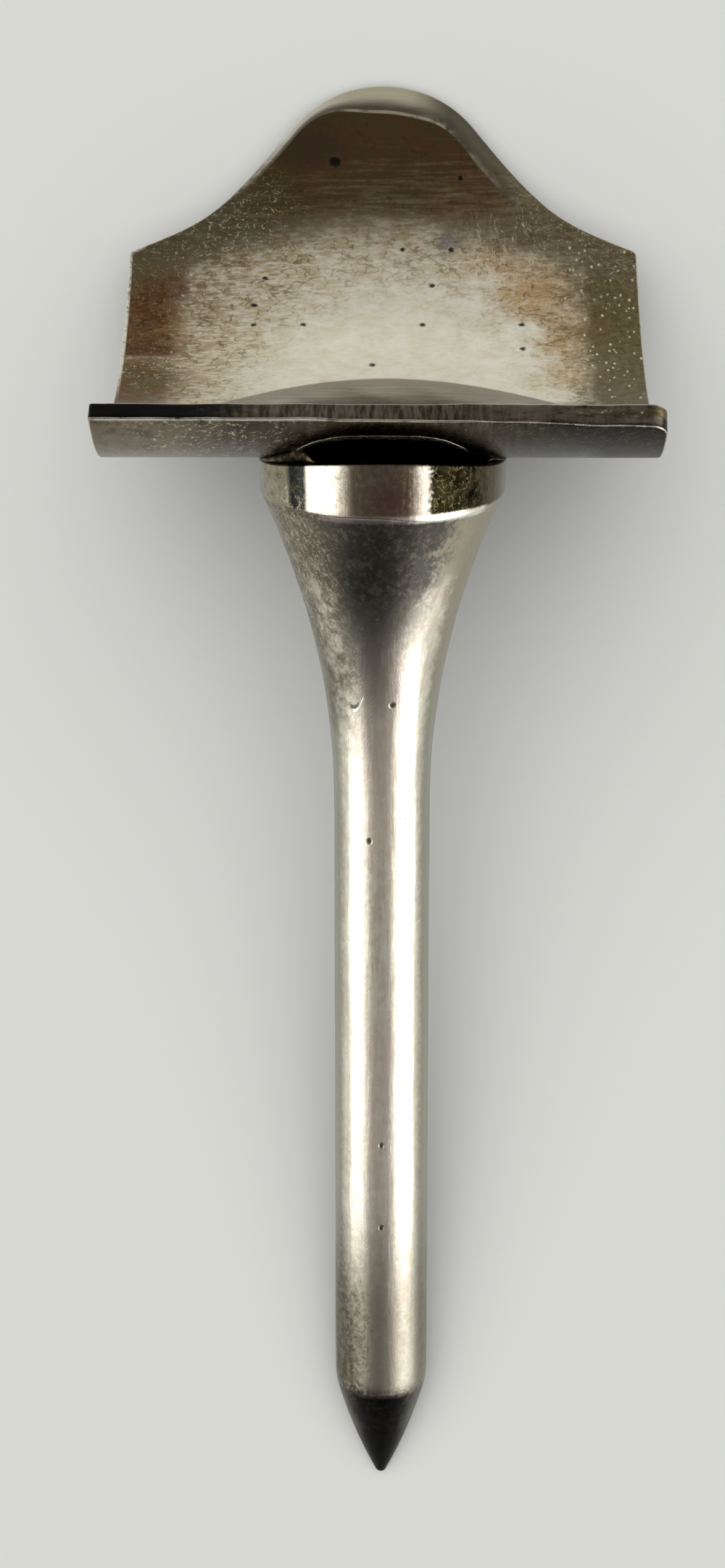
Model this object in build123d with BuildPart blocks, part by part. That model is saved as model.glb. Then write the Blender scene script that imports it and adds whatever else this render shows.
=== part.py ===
"""Divot tool: a turned golf-tee spike with a bent sheet plate soldered across its cup.

Row frame: millimetres, +Z up, the tool lying on its back as it lies on a table.  The spike points
along -Y, the plate's rounded back rises along +Y, and the plate's front lip is the highest part.
The origin is the middle of the bounding box's bottom.

Tool coordinates: "back" is the depth away from the lip, "up" runs along the spike from tip to cup,
and both are 0 at the middle of the seat, where the cup's rim meets the plate.
"""

import os
from math import asin, atan2, cos, degrees, radians, sin

from build123d import *

os.makedirs("parts", exist_ok=True)

# --- driving dimensions, in millimetres and degrees ---

# turned spike
tee_length = 54.0  # tip to the rim's sides
rim_radius = 5.87
collar_foot_radius = 5.80
collar_height = 1.6
collar_blank_top = 1.5  # the collar's height before the seat is filed
flare_end = 17.2  # below the seat, where the flare runs out into the stem
stem_radius = 2.33
tip_start = 48.3  # below the seat, where the stem turns into the tip
tip_bulge = 0.155  # of the tip's outline over its chord
point_radius = 0.3
point_slope = 28.0  # half angle of the tip where it meets its rounded point
cup_radius = 4.75
cup_depth = 2.0

# bent plate
plate_width = 26.0
sheet = 1.05
front_radius = 9.3  # outside of the bend that forms the lip
back_radius = 23.8  # outside of the long bend that forms the back; the seat is filed to it
bend_line = 0.66  # depth at which the two bends meet, the plate's lowest line
lip_angle = 46.7  # round the front bend
top_angle = 67.4  # round the back bend, to the top of the dome

# dome outline, seen square to the table, measured up from the seat
dome_radius = 6.0
dome_angle = 52.0  # where the dome's arc turns into the ogee
ogee_pull = (6.0, 4.5)  # how far the ogee holds its slope, at the dome and at the shoulder
shoulder = (13.0, 11.75)
shoulder_slope = 23.0
shoulder_rounding = 0.45
lip_rounding = 0.5

# solder fillets: where each starts and ends, round the rim from its front towards +X
solder_spans = ((-86.0, -40.0), (72.0, 86.0))
solder_inner_radius = 5.0
solder_outer_radius = 6.0
solder_foot = 0.25  # how far the fillets run down the collar
solder_top = 2.2  # over the highest gap that they fill

# --- lie of the tool on the table ---

top_back = bend_line + back_radius * sin(radians(top_angle))
top_up = back_radius * (1 - cos(radians(top_angle)))
lie = degrees(atan2(top_back - stem_radius, top_up + tip_start))
lie_cos = cos(radians(lie))
lie_sin = sin(radians(lie))

# the dome's top, seen square to the table, measured from the seat
dome_top = top_up * lie_cos + top_back * lie_sin

seat_y = (tee_length * lie_cos - dome_top) / 2
seat_z = top_back * lie_cos - top_up * lie_sin
seat = Vector(0, seat_y, seat_z)
side = Vector(1, 0, 0)
up = Vector(0, lie_cos, lie_sin)
back = Vector(0, lie_sin, -lie_cos)

# the spike's outline is drawn on the plane through its axis, the plate's on the plane across it
spike_plane = Plane(origin=seat, x_dir=side, z_dir=-back)
profile_plane = Plane(origin=seat, x_dir=back, z_dir=side)
spike_axis = Axis(seat, up)

# --- turned spike ---

point_centre = point_radius - tee_length
point_shoulder = (
    point_radius * cos(radians(point_slope)),
    point_centre - point_radius * sin(radians(point_slope)),
)
point_middle = (
    point_radius * sin(radians(90 - point_slope) / 2),
    point_centre - point_radius * cos(radians(90 - point_slope) / 2),
)
chord_angle = atan2(stem_radius - point_shoulder[0], -tip_start - point_shoulder[1])
tip_middle = (
    (stem_radius + point_shoulder[0]) / 2 + tip_bulge * cos(chord_angle),
    (-tip_start + point_shoulder[1]) / 2 - tip_bulge * sin(chord_angle),
)

# the cup is a spherical dish
dish_radius = (cup_radius**2 + cup_depth**2) / (2 * cup_depth)
dish_half_angle = asin(cup_radius / dish_radius) / 2
dish_middle = (
    dish_radius * sin(dish_half_angle),
    dish_radius * (1 - cos(dish_half_angle)) - cup_depth,
)

with BuildPart() as tee_spike:
    with BuildSketch(spike_plane):
        with BuildLine():
            Polyline(
                (0, collar_blank_top),
                (rim_radius, collar_blank_top),
                (rim_radius, 0),
                (collar_foot_radius, -collar_height),
            )
            TangentArc(
                (stem_radius, -flare_end),
                (collar_foot_radius, -collar_height),
                tangent=(0, 1),
            )
            Line((stem_radius, -flare_end), (stem_radius, -tip_start))
            ThreePointArc((stem_radius, -tip_start), tip_middle, point_shoulder)
            ThreePointArc(point_shoulder, point_middle, (0, -tee_length))
            Line((0, -tee_length), (0, collar_blank_top))
        make_face()
    revolve(axis=spike_axis)
    # the seat, filed to the back bend
    with BuildSketch(profile_plane):
        with Locations((bend_line, back_radius)):
            Circle(back_radius)
    extrude(amount=plate_width / 2, both=True, mode=Mode.SUBTRACT)
    # the cup
    with BuildSketch(spike_plane):
        with BuildLine():
            ThreePointArc((0, -cup_depth), dish_middle, (cup_radius, 0))
            Polyline(
                (cup_radius, 0),
                (cup_radius, collar_blank_top),
                (0, collar_blank_top),
                (0, -cup_depth),
            )
        make_face()
    revolve(axis=spike_axis, mode=Mode.SUBTRACT)
tee_spike.part.label = "tee_spike"

# --- bent plate ---


def on_bend(radius, angle, depth=0.0):
    """The point at angle round a bend whose outside has that radius, depth into the sheet."""
    reach = radius - depth
    return (
        bend_line + reach * sin(radians(angle)),
        radius - reach * cos(radians(angle)),
    )


dome_centre = dome_top - dome_radius
dome_end = (
    dome_radius * sin(radians(dome_angle)),
    dome_centre + dome_radius * cos(radians(dome_angle)),
)
ogee_upper = (
    dome_end[0] + ogee_pull[0] * cos(radians(dome_angle)),
    dome_end[1] - ogee_pull[0] * sin(radians(dome_angle)),
)
ogee_lower = (
    shoulder[0] - ogee_pull[1] * cos(radians(shoulder_slope)),
    shoulder[1] + ogee_pull[1] * sin(radians(shoulder_slope)),
)
full_top = 90  # round the back bend, past the dome's top, before the outline is cut
foot = -plate_width  # below everything, where the outline closes

with BuildPart() as curved_plate:
    with BuildSketch(profile_plane):
        with BuildLine():
            ThreePointArc(
                on_bend(front_radius, -lip_angle),
                on_bend(front_radius, -lip_angle / 2),
                on_bend(front_radius, 0),
            )
            ThreePointArc(
                on_bend(back_radius, 0),
                on_bend(back_radius, full_top / 2),
                on_bend(back_radius, full_top),
            )
            Line(on_bend(back_radius, full_top), on_bend(back_radius, full_top, sheet))
            ThreePointArc(
                on_bend(back_radius, full_top, sheet),
                on_bend(back_radius, full_top / 2, sheet),
                on_bend(back_radius, 0, sheet),
            )
            ThreePointArc(
                on_bend(front_radius, 0, sheet),
                on_bend(front_radius, -lip_angle / 2, sheet),
                on_bend(front_radius, -lip_angle, sheet),
            )
            Line(on_bend(front_radius, -lip_angle, sheet), on_bend(front_radius, -lip_angle))
        make_face()
    extrude(amount=plate_width / 2, both=True)
    # the sheet's outline, cut square to the table
    with BuildSketch(Plane(origin=seat)) as outline:
        with BuildLine():
            ThreePointArc(dome_end, (0, dome_top), (-dome_end[0], dome_end[1]))
            for hand in (1, -1):
                Bezier(
                    (hand * dome_end[0], dome_end[1]),
                    (hand * ogee_upper[0], ogee_upper[1]),
                    (hand * ogee_lower[0], ogee_lower[1]),
                    (hand * shoulder[0], shoulder[1]),
                )
                Line((hand * shoulder[0], shoulder[1]), (hand * shoulder[0], foot))
            Line((shoulder[0], foot), (-shoulder[0], foot))
        make_face()
        fillet(outline.vertices().group_by(Axis.Y)[1], shoulder_rounding)
    extrude(amount=2 * back_radius, both=True, mode=Mode.INTERSECT)
    lip_corners = curved_plate.edges().filter_by(lambda edge: abs(edge.length - sheet) < 0.01)
    fillet(lip_corners.group_by(Axis.Z)[-1], lip_rounding)
curved_plate.part.label = "curved_plate"

# --- solder, in the corners where the rim leaves the plate ---

with BuildPart() as solder_fillets:
    for start, end in solder_spans:
        outward = side * sin(radians(start)) - back * cos(radians(start))
        with BuildSketch(Plane(origin=seat, x_dir=outward, z_dir=outward.cross(up))):
            with BuildLine():
                Polyline(
                    (solder_inner_radius, -solder_foot),
                    (solder_outer_radius, -solder_foot),
                    (solder_outer_radius, solder_top),
                    (solder_inner_radius, solder_top),
                    close=True,
                )
            make_face()
        revolve(axis=spike_axis, revolution_arc=end - start)
    # everything above the plate's underside
    with BuildSketch(profile_plane):
        with Locations((bend_line, front_radius)):
            Circle(front_radius)
    extrude(amount=plate_width / 2, both=True, mode=Mode.SUBTRACT)
    add(tee_spike.part, mode=Mode.SUBTRACT)
solder_fillets.part.label = "solder_fillets"

for piece in (tee_spike, curved_plate, solder_fillets):
    export_step(piece.part, f"parts/{piece.part.label}.step")
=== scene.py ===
"""Looks of the divot tool: a worn silver golf-tee spike with a bent sheet plate soldered across its cup.

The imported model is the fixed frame.  Shapes are worked out in millimetres in the tool's own
coordinates and placed in the frame: x across the tool, "back" the depth away from the lip, "up" along
the spike from tip to cup, both 0 at the middle of the seat, where the cup's rim meets the plate.
"""

from math import acos, asin, atan2, cos, degrees, pi, radians, sin, sqrt

import bpy
import numpy as np
from mathutils import Matrix, Vector


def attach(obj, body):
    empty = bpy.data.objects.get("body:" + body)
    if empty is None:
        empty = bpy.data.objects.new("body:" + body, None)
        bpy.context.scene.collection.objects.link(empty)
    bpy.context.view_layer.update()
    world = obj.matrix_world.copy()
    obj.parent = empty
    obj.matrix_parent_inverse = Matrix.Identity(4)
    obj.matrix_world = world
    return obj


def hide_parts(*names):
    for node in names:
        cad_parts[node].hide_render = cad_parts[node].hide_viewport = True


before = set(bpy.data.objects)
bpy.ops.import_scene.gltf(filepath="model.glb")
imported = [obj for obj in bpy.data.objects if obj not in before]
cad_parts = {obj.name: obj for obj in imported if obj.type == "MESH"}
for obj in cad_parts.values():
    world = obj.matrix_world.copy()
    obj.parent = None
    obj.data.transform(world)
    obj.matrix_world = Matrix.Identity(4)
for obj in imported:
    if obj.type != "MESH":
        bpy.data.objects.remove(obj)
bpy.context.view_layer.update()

MM = 0.001

# --- driving dimensions of the CAD model, in millimetres and degrees ---

TEE_LENGTH = 54.0
RIM_RADIUS = 5.87
FOOT_RADIUS = 5.80  # of the collar, at its foot
COLLAR_HEIGHT = 1.6
FLARE_END = 17.2
STEM_RADIUS = 2.33
TIP_START = 48.3
TIP_BULGE = 0.155
POINT_RADIUS = 0.3
POINT_SLOPE = 28.0
CUP_RADIUS = 4.75
CUP_DEPTH = 2.0

HALF_WIDTH = 13.0
SHEET = 1.05
FRONT_RADIUS = 9.3
BACK_RADIUS = 23.8
BEND_LINE = 0.66
LIP_ANGLE = 46.7
TOP_ANGLE = 67.4
DOME_RADIUS = 6.0
DOME_ANGLE = 52.0
OGEE_PULL = (6.0, 4.5)
SHOULDER_HEIGHT = 11.75
SHOULDER_SLOPE = 23.0
SHOULDER_ROUNDING = 0.45

# --- lie of the tool on the table ---

top_back = BEND_LINE + BACK_RADIUS * sin(radians(TOP_ANGLE))
top_up = BACK_RADIUS * (1 - cos(radians(TOP_ANGLE)))
LIE = atan2(top_back - STEM_RADIUS, top_up + TIP_START)
DOME_TOP = top_up * cos(LIE) + top_back * sin(LIE)
SEAT_Y = (TEE_LENGTH * cos(LIE) - DOME_TOP) / 2
SEAT_Z = top_back * cos(LIE) - top_up * sin(LIE)


def in_frame(x, back, up):
    """Tool coordinates in millimetres to the row frame in metres."""
    x, back, up = np.broadcast_arrays(x, back, up)
    y = SEAT_Y + up * cos(LIE) + back * sin(LIE)
    z = SEAT_Z + up * sin(LIE) - back * cos(LIE)
    return np.stack([x, y, z], -1) * MM


# --- small helpers for meshes ---


def make_piece(name, points, faces, node, slot, **attributes):
    """A smooth mesh piece of tool coordinates, standing for a CAD node."""
    points = np.asarray(points, float)
    mesh = bpy.data.meshes.new(name)
    mesh.from_pydata(in_frame(*points.T).tolist(), [], faces)
    mesh.polygons.foreach_set("use_smooth", [True] * len(mesh.polygons))
    attributes["tool"] = points
    for key, values in attributes.items():
        values = np.asarray(values, float)
        if values.ndim == 2:
            mesh.attributes.new(key, "FLOAT_VECTOR", "POINT").data.foreach_set("vector", values.ravel())
        else:
            mesh.attributes.new(key, "FLOAT", "POINT").data.foreach_set("value", values)
    mesh.validate()
    piece = bpy.data.objects.new(name, mesh)
    bpy.context.scene.collection.objects.link(piece)
    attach(piece, "root")
    if node:
        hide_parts(node)
    return piece


def ring_faces(rings, around, closed=True):
    """Quads between rows of vertices, each row running counterclockwise seen from the last row."""
    faces = []
    for i in range(rings - 1):
        for j in range(around if closed else around - 1):
            k = (j + 1) % around
            faces.append((i * around + j, i * around + k, (i + 1) * around + k, (i + 1) * around + j))
    return faces


def wave(*terms):
    """A sum of sines of u and v: each term is amplitude, turns per unit of u and of v, and phase."""
    def value(u, v):
        return sum(a * np.sin(2 * pi * (p * u + q * v + shift)) for a, p, q, shift in terms)
    return value


def smooth(low, high, value):
    """0 at low and 1 at high, with a smooth start and end."""
    t = np.clip((value - low) / (high - low), 0, 1)
    return t * t * (3 - 2 * t)


# --- the spike ---

AROUND = 224


def back_bend(depth):
    """Height of the plate's underside at a depth, and of the seat filed to it."""
    return BACK_RADIUS - np.sqrt(BACK_RADIUS**2 - (depth - BEND_LINE) ** 2)


def front_bend(depth):
    """Height of the plate's underside at a depth, on the bend that forms the lip."""
    return FRONT_RADIUS - np.sqrt(FRONT_RADIUS**2 - (depth - BEND_LINE) ** 2)


flare_curve = ((FOOT_RADIUS - STEM_RADIUS) ** 2 + (FLARE_END - COLLAR_HEIGHT) ** 2) / (
    2 * (FOOT_RADIUS - STEM_RADIUS))


def flare(height):
    """Radius of the flare at a height."""
    return STEM_RADIUS + flare_curve - np.sqrt(flare_curve**2 - (height + FLARE_END) ** 2)


def bow(start, end, bulge, count):
    """Points on an arc from start to end that bulges to its right."""
    start, end = np.array(start), np.array(end)
    chord = end - start
    length = np.hypot(*chord)
    radius = (length**2 / 4 + bulge**2) / (2 * bulge)
    half = asin(length / 2 / radius)
    right = np.array([chord[1], -chord[0]]) / length
    centre = (start + end) / 2 - right * (radius - bulge)
    angle = np.linspace(-half, half, count)
    return [centre + radius * (right * cos(a) + chord / length * sin(a)) for a in angle]


def bend_corner(corner, before, after, reach, count):
    """Points that round a corner, from reach before it to reach past it."""
    corner, before, after = (np.array(p, float) for p in (corner, before, after))
    start = corner + (before - corner) / np.linalg.norm(before - corner) * reach
    end = corner + (after - corner) / np.linalg.norm(after - corner) * reach
    return [(1 - t) ** 2 * start + 2 * t * (1 - t) * corner + t * t * end for t in np.linspace(0, 1, count)]


def spike():
    """The turned spike, as rings of points from its tip up to the rim and down into the cup."""
    angle = np.linspace(0, 2 * pi, AROUND, endpoint=False)  # from the front towards +X
    across, depth = np.sin(angle), -np.cos(angle)
    rows = []

    def row(radius, height):
        rows.append((np.broadcast_to(radius, angle.shape), np.broadcast_to(height, angle.shape)))

    # the point and the tip
    centre = POINT_RADIUS - TEE_LENGTH
    for turn in np.radians([12, 32, 50]):
        row(POINT_RADIUS * sin(turn), centre - POINT_RADIUS * cos(turn))
    slope = radians(POINT_SLOPE)
    shoulder = (POINT_RADIUS * cos(slope), centre - POINT_RADIUS * sin(slope))
    tip = bow(shoulder, (STEM_RADIUS, -TIP_START), TIP_BULGE, 30)
    for point in tip[:-4]:
        row(*point)
    # the worn shoulder and the stem
    for point in bend_corner(tip[-1], tip[-4], (STEM_RADIUS, 0), 0.6, 12):
        row(*point)
    for height in np.linspace(-TIP_START + 0.9, -FLARE_END, 110):
        row(STEM_RADIUS, height)
    # the flare, up to the ridge at the collar's foot, which is filed a little unevenly
    ridge = -COLLAR_HEIGHT - 0.25 * np.exp(-(((degrees_from(angle, 28)) / 22) ** 2))
    ridge = ridge + 0.10 * np.exp(-((degrees_from(angle, 88) / 26) ** 2))
    ridge = ridge + 0.10 * np.exp(-((degrees_from(angle, -88) / 26) ** 2))
    ridge = ridge + 0.022 * np.sin(5 * angle + 1) + 0.014 * np.sin(11 * angle + 2)
    ridge_radius = FOOT_RADIUS + 0.006 * np.sin(7 * angle)
    fade_start = -COLLAR_HEIGHT - 2.2
    for height in np.linspace(-FLARE_END + 0.3, fade_start, 44):
        row(flare(height), height)
    soft = 0.09
    for t in np.linspace(0.05, 1, 14):
        height = fade_start + (ridge - soft - fade_start) * t
        row(flare(height) + (ridge_radius - flare(ridge)) * t**2, height)
    for t in np.linspace(0.2, 1, 5):
        row(ridge_radius - 0.012 * (1 - t) + 0.004, ridge + soft * (t * 1.2 - 0.7))
    # the collar's wall
    rim_height = back_bend(RIM_RADIUS * depth)
    soft_rim = 0.12
    for t in np.linspace(0.08, 1, 10):
        low, high = ridge + soft, rim_height - soft_rim
        row(FOOT_RADIUS + (RIM_RADIUS - FOOT_RADIUS) * t, low + (high - low) * t)
    # over the rim
    for t in np.linspace(0.2, 1, 5):
        radius = RIM_RADIUS - soft_rim * t * t
        row(radius, back_bend(radius * depth) - soft_rim * (1 - t) ** 2)
    for radius in np.linspace(RIM_RADIUS - soft_rim, CUP_RADIUS + soft_rim, 5)[1:]:
        row(radius, back_bend(radius * depth))
    # the cup's wall and dish
    dish = (CUP_RADIUS**2 + CUP_DEPTH**2) / (2 * CUP_DEPTH)
    for radius in np.linspace(CUP_RADIUS, 0.4, 18):
        floor_height = dish - CUP_DEPTH - sqrt(dish**2 - radius**2)
        lift = (back_bend(CUP_RADIUS * depth) - 0.1) * (radius / CUP_RADIUS) ** 10
        row(radius, floor_height + lift)

    radii, heights = (np.array(part) for part in zip(*rows))
    uneven = wave((0.010, 0.21, 0.16, 0.1), (0.008, 0.09, 0.32, 0.6), (0.005, 0.55, 0.48, 0.3))
    outside = smooth(-TEE_LENGTH, -TIP_START, heights) * smooth(0.3, 0.0, heights - rim_height)
    radii = radii + outside * uneven(heights / 2.0, across[None, :] + 0.7 * depth[None, :]) * radii / 4
    points = np.stack([radii * across, radii * depth, heights], -1).reshape(-1, 3)
    last = len(points)
    points = np.vstack([points, [(0, 0, -TEE_LENGTH), (0, 0, -CUP_DEPTH)]])
    faces = ring_faces(len(rows), AROUND)
    for j in range(AROUND):
        k = (j + 1) % AROUND
        top = (len(rows) - 1) * AROUND
        faces.append((last, k, j))
        faces.append((top + j, top + k, last + 1))
    return make_piece("spike", points, faces, "tee_spike", "spike_silver")


def degrees_from(angle, middle):
    """How far an angle is from a middle, in degrees, the short way round."""
    return (np.degrees(angle) - middle + 180) % 360 - 180


# --- the plate ---

EDGE = 0.09  # radius of the sheet's worn edges
CORNER_STEPS = 8
COLUMNS = 132
LIP_CORNERS = (0.16, 0.8)  # rounding of the lip's left and right corner
DOME_RUN = 14  # the whole of the dome's edge is past this run
BEVEL_SLOPE = 0.23  # depth of the dome's worn bevel over its width
LEAN = 0.38  # how far the lip's left end leans out
LEAN_START, LEAN_REACH = 17, 24.6  # the run where the lean starts, and how far on it is full


def dome_outline():
    """The plate's outline seen square to the table, x and height above the seat, for x from 0 up."""
    angle = np.radians(np.linspace(0, DOME_ANGLE, 40))
    centre = DOME_TOP - DOME_RADIUS
    arc = np.stack([DOME_RADIUS * np.sin(angle), centre + DOME_RADIUS * np.cos(angle)], -1)
    start, end = arc[-1], np.array([HALF_WIDTH, SHOULDER_HEIGHT])
    upper = start + OGEE_PULL[0] * np.array([cos(radians(DOME_ANGLE)), -sin(radians(DOME_ANGLE))])
    lower = end - OGEE_PULL[1] * np.array([cos(radians(SHOULDER_SLOPE)), -sin(radians(SHOULDER_SLOPE))])
    t = np.linspace(0, 1, 80)[:, None]
    ogee = (1 - t) ** 3 * start + 3 * t * (1 - t) ** 2 * upper + 3 * t * t * (1 - t) * lower + t**3 * end
    return np.vstack([arc, ogee[1:]])


OUTLINE = dome_outline()


def run_to(height, depth):
    """How far round the outside of the back bend the cut at a height above the seat lies."""
    level = BACK_RADIUS * cos(LIE) + BEND_LINE * sin(LIE) - height
    return BACK_RADIUS * (np.arccos(level / (BACK_RADIUS - depth)) - LIE)


def on_sheet(x, run, depth):
    """Tool coordinates of a point of the sheet: run is round the outside from the bend line, towards
    the dome, and depth is into the sheet from its outside."""
    radius = np.where(run < 0, FRONT_RADIUS, BACK_RADIUS)
    angle = run / radius
    reach = radius - depth
    return np.stack([x, BEND_LINE + reach * np.sin(angle), radius - reach * np.cos(angle)], -1)


def round_corner(corner, before, after, radius):
    """Points on the arc that rounds a corner of the flat outline."""
    corner, before, after = (np.array(p, float) for p in (corner, before, after))
    u = (before - corner) / np.linalg.norm(before - corner)
    v = (after - corner) / np.linalg.norm(after - corner)
    half = acos(np.clip(u @ v, -1, 1)) / 2
    middle = (u + v) / np.linalg.norm(u + v)
    centre = corner + middle * radius / sin(half)
    first, last = corner + u * radius / np.tan(half), corner + v * radius / np.tan(half)
    a, b = first - centre, last - centre
    total = acos(np.clip(a @ b / (radius * radius), -1, 1))
    points = []
    for t in np.linspace(0, 1, CORNER_STEPS):
        points.append(centre + (a * sin((1 - t) * total) + b * sin(t * total)) / sin(total))
    return points


def plate_edges(depth, lip):
    """The flat outline at a depth in the sheet: the lip's edge and the dome's, left to right."""
    def dome(x):
        return run_to(np.interp(np.abs(x), *OUTLINE.T), depth)

    edges = []
    for edge, corners, beside in ((lip, LIP_CORNERS, 2.0), (dome, (SHOULDER_ROUNDING,) * 2, 0.5)):
        ends = [np.array([x, float(edge(x))]) for x in (-HALF_WIDTH, HALF_WIDTH)]
        inner = [np.array([x, float(edge(x))]) for x in (beside - HALF_WIDTH, HALF_WIDTH - beside)]
        feet = [(x, 0.0) for x in (-HALF_WIDTH, HALF_WIDTH)]
        first = round_corner(ends[0], feet[0], inner[0], corners[0])
        last = round_corner(ends[1], inner[1], feet[1], corners[1])
        xs = np.linspace(first[-1][0], last[0][0], COLUMNS)[1:-1]
        edges.append(np.vstack([first, np.stack([xs, edge(xs)], -1), last]))
    return edges


def bevel_width(x):
    """Width of the worn bevel along the dome's inner edge: widest at the top, and wider on the right."""
    to_right = smooth(-1.5, 2.0, x)
    flanks = (0.28 + 0.72 * to_right) * smooth(9.0, 6.2, np.abs(x))
    crown = 1.02 * (1 - 0.62 * to_right) * np.exp(-((x / (2.5 + 0.4 * to_right)) ** 2))
    return (flanks + crown) * (1 + wave((0.04, 0.11, 0, 0.3), (0.025, 0.29, 0, 0.8))(x, 0))


def spread(x, run):
    """How far the plate's left half leans out towards the lip."""
    along = np.clip((LEAN_START - run) / LEAN_REACH, 0, 1)
    return -LEAN * along ** 1.5 * np.clip(-x / HALF_WIDTH, 0, 1)


def plate():
    """The bent sheet: a grid for each face, joined round the border by rings over the worn edges."""
    def lip_inner(x):
        return -FRONT_RADIUS * radians(LIP_ANGLE) + wave((0.025, 0.11, 0, 0.2), (0.018, 0.27, 0, 0.7))(x, 0)

    def lip_outer(x):
        skew = -0.145 + 0.028 * x + 0.00155 * x * x
        return lip_inner(x) + skew + wave((0.02, 0.19, 0, 0.4), (0.012, 0.43, 0, 0.1))(x, 0)

    front_rows, back_rows = 26, 92
    inner = plate_edges(SHEET, lip_inner)
    outer = plate_edges(0.0, lip_outer)
    columns = len(inner[0])
    side_rows = front_rows + back_rows - 1
    span = np.concatenate([np.linspace(0, 1, front_rows), 1 + np.linspace(0, 1, back_rows)[1:]])
    span = span[:, None, None]

    def fill(low, high):
        """Rows of points from the lip's edge through the bend line to the dome's edge."""
        bend = np.stack([(low[:, 0] + high[:, 0]) / 2, np.zeros(columns)], -1)
        return np.where(span < 1, low + (bend - low) * span, bend + (high - bend) * (span - 1))

    def loop(grid):
        """The grid's border, counterclockwise seen from inside the bend."""
        return np.concatenate([grid[0], grid[1:-1, -1], grid[-1, ::-1], grid[-2:0:-1, 0]])

    def outward(border):
        tangent = np.roll(border, -1, 0) - np.roll(border, 1, 0)
        tangent /= np.linalg.norm(tangent, axis=1)[:, None]
        return np.stack([tangent[:, 1], -tangent[:, 0]], -1)

    rim_in, rim_out = loop(fill(*inner)), loop(fill(*outer))
    normal = outward(rim_in)
    # the dome's inner edge is filed to a bevel that fades out towards the shoulders
    least_bevel = 0.05
    bevel = least_bevel + np.where(rim_in[:, 1] > DOME_RUN, bevel_width(rim_in[:, 0]), 0)
    filed = BEVEL_SLOPE * (bevel - least_bevel)

    def inset(border, distance):
        return border - normal * np.broadcast_to(distance, len(border))[:, None]

    def border_to_edges(border):
        """The lip's and the dome's edge of a border, left to right."""
        return border[:columns], border[columns + side_rows - 2:2 * columns + side_rows - 2][::-1]

    top_border = inset(rim_in, EDGE + bevel)
    bottom_border = inset(rim_out, EDGE)
    top_grid = fill(*border_to_edges(top_border))
    bottom_grid = fill(*border_to_edges(bottom_border))

    points, rows = [], []

    def add(flat, depth, distance):
        """Appends points and their sheet coordinates, and returns where they start."""
        depth = np.broadcast_to(depth, len(flat))
        distance = np.broadcast_to(distance, len(flat))
        start = sum(len(p) for p in points)
        dents = wave((0.008, 0.07, 0.03, 0.15), (0.010, 0.02, 0.12, 0.55), (0.004, 0.16, 0.17, 0.8),
                     (0.003, 0.31, 0.26, 0.35))(*flat.T)
        inside = smooth(SHEET * 0.4, SHEET, depth)
        placed = flat[:, 0] + spread(*flat.T)
        points.append(on_sheet(placed, flat[:, 1], depth - 0.03 * inside + dents * inside))
        on_dome = np.where(flat[:, 1] > DOME_RUN, bevel_width(flat[:, 0]), 0)
        share = distance / (EDGE + least_bevel + on_dome)
        rows.append(np.stack([flat[:, 0], flat[:, 1], depth, distance, share], -1))
        return start

    def distance_to_edge(flat):
        sides = HALF_WIDTH - np.abs(flat[:, 0])
        lip = flat[:, 1] + FRONT_RADIUS * radians(LIP_ANGLE)
        slope = np.gradient(OUTLINE[:, 1], OUTLINE[:, 0])
        dome = run_to(np.interp(np.abs(flat[:, 0]), *OUTLINE.T), SHEET) - flat[:, 1]
        dome = dome / np.sqrt(1 + np.interp(np.abs(flat[:, 0]), OUTLINE[:, 0], slope) ** 2)
        return np.clip(np.minimum(np.minimum(sides, lip), dome), 0, 5)

    top_flat, bottom_flat = top_grid.reshape(-1, 2), bottom_grid.reshape(-1, 2)
    top = add(top_flat, SHEET, distance_to_edge(top_flat))
    ring_starts = []

    def border_rows(start):
        index = np.arange(top_grid.shape[0] * columns).reshape(-1, columns) + start
        return np.concatenate([index[0], index[1:-1, -1], index[-1, ::-1], index[-2:0:-1, 0]])

    def ring(inside_by, depth):
        share = np.clip((SHEET - depth) / SHEET, 0, 1)[:, None]
        flat = rim_in * (1 - share) + rim_out * share
        flat = flat - normal * inside_by[:, None]
        ring_starts.append(add(flat, depth, np.maximum(inside_by, 0)))

    count = len(rim_in)
    full = np.ones(count)
    for share in (0.15, 0.35, 0.55, 0.78):
        ring(EDGE + bevel * (1 - share), SHEET - filed * (0.08 * share + 0.92 * share**2))
    for turn in np.radians([0, 22, 45, 68, 90]):
        ring(EDGE * (1 - sin(turn)) * full, SHEET - filed - EDGE * (1 - cos(turn)))
    for share in (0.75, 0.5, 0.25):
        ring(0 * full, EDGE + (SHEET - filed - 2 * EDGE) * share)
    for turn in np.radians([0, 22, 45, 68]):
        ring(EDGE * (1 - cos(turn)) * full, EDGE * (1 - sin(turn)) * full)
    bottom = add(bottom_flat, 0.0, distance_to_edge(bottom_flat))

    faces = ring_faces(top_grid.shape[0], columns, closed=False)
    faces += [tuple(bottom + v for v in face[::-1]) for face in faces]
    chains = [border_rows(top)] + [np.arange(count) + start for start in ring_starts] + [border_rows(bottom)]
    for upper, lower in zip(chains, chains[1:]):
        for j in range(count):
            k = (j + 1) % count
            faces.append((int(upper[j]), int(lower[j]), int(lower[k]), int(upper[k])))
    sheet_rows = np.vstack(rows)
    return make_piece("plate", np.vstack(points), faces, "curved_plate", "plate_silver",
                      sheet=sheet_rows[:, :3], edge_distance=sheet_rows[:, 3], bevel_share=sheet_rows[:, 4])


# --- solder ---

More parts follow.
